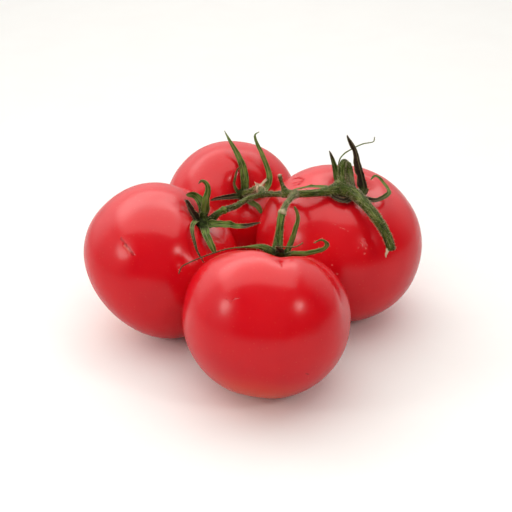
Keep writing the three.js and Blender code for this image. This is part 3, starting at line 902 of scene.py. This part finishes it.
stalk_material, tree = new_material("green_stalk")
look = put_group(tree, plant_grain, {"Grain": read(tree, "grain", "Vector"), "Around": 1.6})
colour = ramp(
    tree, look.outputs["Streaks"],
    (0.36, (0.010, 0.020, 0.002)), (0.46, (0.030, 0.054, 0.004)), (0.56, (0.078, 0.112, 0.014)),
    (0.68, (0.26, 0.28, 0.10)),
)
brown = between(tree, look.outputs["Flecks"], 0.54, 0.72, 0.0, 0.6)
colour = blend_colours(tree, brown, colour, STALK_BROWN)
finish_plant(tree, look, colour, look.outputs["Flecks"])
add_piece("stalk", to_piece_mesh("stalk", stalk), stalk_material, "stalk", "truss_stem")


# Whorls. Each fruit grew on a short thick stalk that widens into a green hub, and four to six
# pointed sepals spread from it, some still fleshy, some dried brown and curled.

# For each sepal: its width, how fast it narrows, its roll, how dry it is from root to tip, the width
# of its thread-like end if it has one, and the line that it follows from the hub.
WHORLS = {
    "left": [
        {"width": 5, "taper": 0.35, "roll": -20, "dry": [0.1, 0.1, 0.2],
         "path": [(0, 1, 0.5), (-1, 2.5, 2.5), (-3, 3.5, 5), (-5, 4.5, 6), (-8, 5.5, 6.5),
                  (-10.5, 4.5, 6.5), (-12.5, 3, 5.5)]},
        {"width": 4.4, "taper": 0.5, "roll": 80, "dry": [0.3, 0.1, 0.1, 0.6],
         "path": [(-0.5, 0.5, 1), (-2.5, 0, 6.5), (-6, 0, 11), (-7.5, 1, 14), (-9.5, 1.5, 15.7),
                  (-11, 2, 16), (-12.5, 2, 15.5), (-12.7, 1, 14)]},
        {"width": 4.6, "taper": 0.3, "roll": -45, "dry": [0.6, 0.9, 1],
         "path": [(-1.5, -1, 0.5), (-5.5, -2.5, 2.5), (-8, -3, 3.7), (-11, -3, 5), (-13.5, -3.5, 6.5)]},
        {"width": 2.6, "taper": 0.5, "roll": 35, "dry": [0.1, 0.3, 0.6, 0.8],
         "path": [(-1, -2, 0.5), (-5, -9, 4), (-6.5, -16, 4.2), (-4.5, -20, 3.2), (-0.5, -24, 1.5),
                  (4.5, -25.5, 0)]},
        {"width": 4.4, "taper": 0.25, "roll": 45, "dry": [0, 0.05, 0.2],
         "path": [(0.5, -2, 0.5), (0.5, -8, 3.5), (0.7, -14.5, 5), (3.5, -17.5, 4.5), (7, -19.5, 3.5)]},
        {"width": 4.5, "taper": 0.45, "roll": 45, "dry": [0.1, 0.1, 0.1, 0.2, 1, 1],
         "path": [(0.5, -1.5, 0.5), (3.5, -3, 5.5), (6.5, -3.5, 8.5), (10.5, -3, 11), (14, -2.5, 13.5),
                  (18, -0.5, 18.5)]},
    ],
    "back": [
        {"width": 4.8, "taper": 0.7, "roll": -10, "dry": [0.4, 0.1, 0, 0.1],
         "path": [(0, 1, 0.5), (-0.5, 3.5, 2.5), (-1.5, 7.5, 3.7), (-3.5, 12.5, 5), (-7, 18, 5),
                  (-11, 23.5, 4.5), (-13.5, 27, 4.5)]},
        {"width": 2.2, "taper": 0.5, "roll": 0, "dry": [0.3, 0.5],
         "path": [(-1, 0, 0.5), (-4.5, 1, 3), (-6.2, 4, 4), (-6, 7.5, 5), (-5.5, 10, 5.2),
                  (-4, 12, 5.5)]},
        {"width": 3.4, "taper": 0.35, "roll": 0, "dry": [0.4, 0.8, 1],
         "path": [(-1, -0.5, 0.5), (-5, -2.5, 3.5), (-8.5, -4, 5), (-12.5, -5.5, 5.7), (-16, -7, 5.7)]},
        {"width": 3.6, "taper": 0.5, "roll": 0, "dry": [0.5, 0.3, 0.1, 0.2],
         "path": [(1, 0, 0.5), (5.5, 1, 4), (9, 4, 6.5), (9.5, 8.5, 7.2), (8, 12.5, 7), (4.5, 19, 7),
                  (1, 25, 6.5), (0.5, 27.5, 6.3), (2, 29, 7)]},
        {"width": 3.6, "taper": 0.25, "roll": 20, "dry": [0.1, 0.3],
         "path": [(1, -1, 0.5), (3, -4, 4.5), (5.5, -5.5, 6), (8, -8.5, 6)]},
    ],
    "right": [
        {"width": 5.6, "taper": 0.45, "roll": 55, "dry": [0.1, 0.9, 1, 1],
         "path": [(1, -1, 0.5), (3.2, -2, 2.5), (4, -0.5, 5), (2.7, 1.5, 8), (-0.5, 3.5, 14.5),
                  (-3.5, 6, 20), (-8, 7, 25)]},
        {"width": 4.6, "taper": 0.5, "roll": -40, "dry": [0, 0, 0.35, 1],
         "path": [(-1, 0.5, 0.5), (-5, 1, 2.5), (-8, 3.5, 5), (-10, 5.5, 9), (-12.5, 7, 13.5),
                  (-13.5, 8, 15)]},
        {"width": 0.65, "taper": 0.15, "roll": -30, "dry": [0.1, 0.1],
         "path": [(-1, 1.5, 0.5), (-5, 5, 3), (-7.5, 8.5, 6.5), (-7.5, 11, 10), (-6, 12.5, 12),
                  (-4, 13.5, 13.5), (1, 16, 16), (5.5, 16.5, 18), (5.5, 17, 20)]},
        {"width": 2.8, "taper": 0.3, "roll": 35, "dry": [0.9, 0.8, 0.6, 0.1, 0.1],
         "path": [(1, -1.5, 0.5), (3.5, -7.5, 4.5), (6.5, -10, 5.5), (10, -8.5, 6), (13.7, -4.5, 7),
                  (13, 0, 7), (11, 2, 8), (9, 3, 9.2), (7.5, 3, 9.5), (6, 2, 8)]},
        {"width": 3, "taper": 0.5, "roll": -20, "dry": [0.2, 0.3],
         "path": [(-1.5, -1, 0.5), (-6, -5.5, 4.5), (-11, -6.5, 6), (-19, -5.5, 4.5), (-23, -5, 2.5),
                  (-26, -4, 0.5)]},
        {"width": 3.8, "taper": 0.3, "roll": -30, "dry": [0.9, 0.9, 0.8],
         "path": [(-0.5, -2, 0.5), (-2, -8, 4), (-5.5, -12.5, 4.7), (-9, -11.5, 4.8), (-11.5, -9.5, 5)]},
    ],
    "front": [
        {"width": 8.5, "taper": 6, "roll": 75, "thread": 0.55, "dry": [0, 0.2, 0.6, 0.7, 0.7],
         "path": [(-0.5, -1.5, 0.5), (-2.5, -2, 3.2), (-5.5, -1.4, 4.6), (-8, -1, 4.6), (-11, -1, 4),
                  (-19, -1.5, 2), (-26.5, -2.5, -1.5), (-34, -3, -6), (-36.5, -4, -8),
                  (-37.3, -4.5, -11)]},
        {"width": 2.9, "taper": 0.4, "roll": -75, "dry": [0, 0.2],
         "path": [(1, -0.5, 0.5), (4, -0.5, 4.5), (5, -1, 8.5), (5.5, -2.5, 12), (6, -4, 18),
                  (5, -5.5, 20.5), (3.5, -7.5, 22.5)]},
        {"width": 2.6, "taper": 0.25, "roll": -60, "dry": [0.1, 0.25],
         "path": [(1, -1.5, 0.5), (5, -4.5, 3.5), (8, -5.5, 4.2), (11, -4.5, 4.7), (16, -3, 6.5),
                  (18, -2, 7.5), (19, -3, 9), (18, -5, 10.5), (16, -6.5, 11), (13.5, -7, 9.5)]},
        {"width": 8.5, "taper": 4, "roll": 0, "dry": [1, 1, 0.6, 0.4, 0.4],
         "path": [(0.8, -1.5, 0.5), (0.9, -5, 3.7), (-0.8, -8, 5.4), (0.5, -9.7, 6.0), (4, -10, 6.4),
                  (7, -9, 7.2), (9, -10, 9)]},
    ],
}
BLADE_SIDES = 12
BLADE_KEEL = 0.22
DRY_KEEL = 0.2
RIB_THICKNESS = 0.75
EDGE_THICKNESS = 0.3
TIP_THINNING = 0.45
ROOT_WIDTH = 0.65
WAVE = 0.12
POINT_WIDTH = 0.35
HUB_DEPTH = 6
HUB_STEP = 0.4
HUB = ([(0, 0, -1.4), (0, 0, -0.5), (0, 0, 0.6), (0, 0, 1.6), (0, 0, 2.4)], [2.4, 3.5, 4.2, 3.2, 1.6])


def sepal_parts(sepal, seed):
    """The blade of one sepal, the thick root that joins it to the hub, and the root's frames."""
    path = sepal["path"]
    length = smooth_path(path, 1)[-1][1]
    stations = smooth_path(path, max(14, int(length / LIMB_STEP)))
    outward = (stations[1][2] - stations[0][2]).normalized()
    across = Vector((-outward.y, outward.x, 0)).normalized()
    across = Matrix.Rotation(math.radians(sepal["roll"]), 3, outward) @ across
    thinnest = sepal.get("thread", POINT_WIDTH)

    def half_width(share):
        swell = ROOT_WIDTH + (1 - ROOT_WIDTH) * math.sin(min(1, share / 0.3) * math.pi / 2)
        width = sepal["width"] * swell * (1 - share) ** sepal["taper"]
        return max(thinnest, width) / 2

    def blade(share, distance, x, y):
        half = half_width(share)
        wither = along_list(sepal["dry"], share)
        curl = noise.noise(Vector((distance * 0.35, seed, 0.5 * (x > 0))))
        thick = EDGE_THICKNESS + (RIB_THICKNESS - EDGE_THICKNESS) * (1 - abs(x)) ** 1.5
        thick *= 1 - TIP_THINNING * share
        keel = 2 * half * (BLADE_KEEL + DRY_KEEL * wither) * abs(x) ** 1.3
        lift = keel + 0.5 * half * curl * abs(x)
        return half * x * (1 - WAVE * wither + WAVE * curl), lift + thick / 2 * y

    def root(share, distance, x, y):
        half = half_width(share * 0.2)
        return half * x, 0.7 * (1 - TIP_THINNING * share) * y

    bm, _ = swept(stations, across, BLADE_SIDES, blade)
    dry = bm.verts.layers.float.new("dry")
    edge = bm.verts.layers.float.new("edge")
    grain = bm.verts.layers.float_vector["grain"]
    total = stations[-1][1]
    for vert in bm.verts:
        vert[dry] = along_list(sepal["dry"], min(1, vert[grain].x / total))
        vert[edge] = abs(vert[grain].y)
    root_line = [place for _, _, place in stations[:len(stations) // 5 + 2]]
    stub, frames = swept(smooth_path(root_line, 8), across, BLADE_SIDES, root)
    return bm, stub, frames


DRY_RIM = (0.42, 0.38, 0.18, 1)

sepal_material, tree = new_material("sepal")
look = put_group(tree, plant_grain, {"Grain": read(tree, "grain", "Vector"), "Around": 2.2})
fresh = ramp(
    tree, look.outputs["Streaks"],
    (0.36, (0.014, 0.034, 0.002)), (0.47, (0.054, 0.108, 0.009)), (0.6, (0.19, 0.28, 0.055)),
)
wither = ramp(
    tree, look.outputs["Flecks"],
    (0.35, (0.010, 0.005, 0.004)), (0.58, (0.040, 0.020, 0.012)), (0.75, (0.17, 0.11, 0.07)),
)
uneven = calculate(
    tree, "MULTIPLY", calculate(tree, "SUBTRACT", look.outputs["Flecks"], 0.5), UNEVENNESS
)
turned = between(tree, calculate(tree, "ADD", read(tree, "dry"), uneven), 0.3, 0.75)
colour = blend_colours(tree, turned, fresh, wither)
edge = read(tree, "edge")
worn = between(tree, look.outputs["Flecks"], 0.35, 0.62, 0.15, 0.75)
rim = calculate(tree, "MULTIPLY", between(tree, edge, 0.78, 0.98), worn)
rib = between(tree, edge, 0.22, 0.04, 0.0, 0.3)
colour = blend_colours(tree, calculate(tree, "MAXIMUM", rim, rib), colour, DRY_RIM)
finish_plant(tree, look, colour, look.outputs["Streaks"])

# For each fruit's own stalk: radii from the hub to the knuckle, how brown it is, how pale its collar
# is, how far it sags, and how pale and how dark it is half-way along
PEDICELS = {
    "left": {
        "radii": [3.2, 2.4, 2.0, 1.75, 1.6, 1.45, 1.4, 1.4],
        "brown": 0.0, "collar": 0.0, "sag": 0.9, "pale": 0, "dark": 0.85,
    },
    "back": {
        "radii": [3.2, 2.3, 1.9, 1.7, 1.6, 1.55, 1.6, 1.6],
        "brown": 0.3, "collar": 0.9, "sag": 0.2, "pale": 0, "dark": 0.4,
    },
    "right": {
        "radii": [3.2, 2.3, 1.95, 1.85, 1.85, 1.9, 1.9, 1.7],
        "brown": 0.45, "collar": 0.2, "sag": 0, "pale": 0.45, "dark": 0,
    },
    "front": {
        "radii": [3.6, 2.8, 2.2, 1.85, 1.65, 1.5, 1.5, 1.45],
        "brown": 0.0, "collar": 0.5, "sag": 0, "pale": 0, "dark": 0.35,
    },
}
# Painted shade round the hub, seen from the hub itself: a point and the reach
HUB_SHADES = {
    "left": [((0, 0, 1.5), 4.4), ((-0.9, -5.3, 2.2), 4.2)],
    "back": [((0, 0, 1.5), 5)],
    "right": [((0, 0, 1.5), 4.6)],
    "front": [((0.6, -2.4, 1.5), 6)],
}
# How far past the knuckle the stalk bends to its fruit, and how far it laps into the twig
BEND_REACH = 2.2
KNUCKLE_LAP = 0.5
# The collar is a ring of corky skin round the knuckle, with a dark line beside it
COLLAR_RADII = [1.2, 1.5, 1.75, 1.85, 1.65, 1.3]
COLLAR_BEFORE = 0.8
COLLAR_AFTER = 0.7
COLLAR_STEP = 0.2
RING_PLACE = 1.1
RING_REACH = 0.8
RING_DARKNESS = 0.8
HALF_WAY_REACH = 5
WHORL_RIDGES = 0.2
# Hairs on the hub and stalk, and on each blade from this share of its half-width out. Within this
# share of the reach of the painted shade round the hub there are none.
WHORL_HAIRS = 700
BLADE_HAIRS = 70
MARGIN = 0.8
BALD_SHARE = 0.8


def stalk_line(side, foot):
    """A fruit's own stalk from hub to knuckle, and the ways that the twig and the stalk meet there."""
    twig = next(points for points, _ in LIMBS if points[-1] == KNUCKLES[side])
    run = (Vector(twig[-1]) - Vector(twig[-2])).normalized()
    knuckle = Vector(KNUCKLES[side])
    away = (run * 0.3 + (foot - knuckle).normalized() * 0.7).normalized()
    middle = foot.lerp(knuckle, 0.45) - Vector((0, 0, PEDICELS[side]["sag"]))
    return [foot, middle, knuckle + away * BEND_REACH, knuckle - run * KNUCKLE_LAP], run, away


def collar_on(start, run, away):
    """The uneven ring round a knuckle."""
    collar, _ = limb(
        [start - run * COLLAR_BEFORE, start, start + away * COLLAR_AFTER], COLLAR_RADII, COLLAR_STEP
    )
    for vert in collar.verts:
        vert.co += (vert.co - start) * 0.12 * noise.noise(vert.co * 1.6)
    return collar


def whorl_mesh(number, side, sepals):
    """One whorl: stalk, hub and roots grown together, and the collar, blades and hairs on them."""
    fruit = FRUITS[side]
    hub_height = Matrix.Translation((0, 0, fruit["crown"] - HUB_DEPTH))
    stand = Matrix.Translation(fruit["at"]) @ leaning(*fruit["lean"]) @ hub_height
    to_hub = stand.inverted()
    turned_to_hub = stand.to_3x3().inverted()
    foot = stand.translation
    knuckle = Vector(KNUCKLES[side])
    look = PEDICELS[side]
    bends, run, away = stalk_line(side, foot)
    pedicel, frames = limb([to_hub @ point for point in bends], look["radii"])
    hub, _ = limb(*HUB, HUB_STEP)
    thick = [pedicel, hub]
    blades = []
    for i, sepal in enumerate(sepals):
        blade, stub, stub_frames = sepal_parts(sepal, 10 * number + i)
        thick.append(stub)
        frames += stub_frames
        blades.append(blade)
    body = fused(thick)
    follow_grain(body, frames, WHORL_RIDGES, number)

    # The hub's painted shade, the dark ring by the knuckle, and the stalk's tone half-way along
    shades = [(place, reach, 0, 1) for place, reach in HUB_SHADES[side]]
    ring = to_hub @ (knuckle + away * RING_PLACE)
    half_way = to_hub @ foot.lerp(knuckle, 0.5)
    stain_and_shade(body, shades + [
        (ring, RING_REACH, 0, RING_DARKNESS - look["brown"]),
        (half_way, HALF_WAY_REACH, look["pale"], look["dark"]),
    ])
    collar = collar_on(to_hub @ knuckle, turned_to_hub @ run, turned_to_hub @ away)
    join_in(body, collar, look["collar"])
    dry = body.verts.layers.float.new("dry")
    edge = body.verts.layers.float.new("edge")
    for vert in body.verts:
        vert[dry] = look["brown"]
        vert[edge] = 0.5

    body.normal_update()
    feet = feet_on(body.faces, WHORL_HAIRS, 20 + number)
    for i, blade in enumerate(blades):
        blade.normal_update()
        grain = blade.verts.layers.float_vector["grain"]
        # The hub's painted shade darkens the blades' roots too
        stain_and_shade(blade, shades)
        margin = [face for face in blade.faces if min(abs(v[grain].y) for v in face.verts) > MARGIN]
        feet += feet_on(margin, min(len(margin), BLADE_HAIRS), 40 + 10 * number + i)
        join_in(body, blade, 0)
    bald = [(Vector(place), BALD_SHARE * reach) for place, reach in HUB_SHADES[side]]
    feet = [
        (place, out) for place, out in feet
        if all((place - dark).length > reach for dark, reach in bald)
    ]
    add_hairs(body, feet, 30 + number)
    bmesh.ops.transform(body, matrix=stand, verts=body.verts)
    return to_piece_mesh(f"whorl_{side}", body)


for number, (side, sepals) in enumerate(WHORLS.items()):
    mesh = whorl_mesh(number, side, sepals)
    add_piece(f"whorl_{side}", mesh, sepal_material, "sepal", f"calyx_{side}")
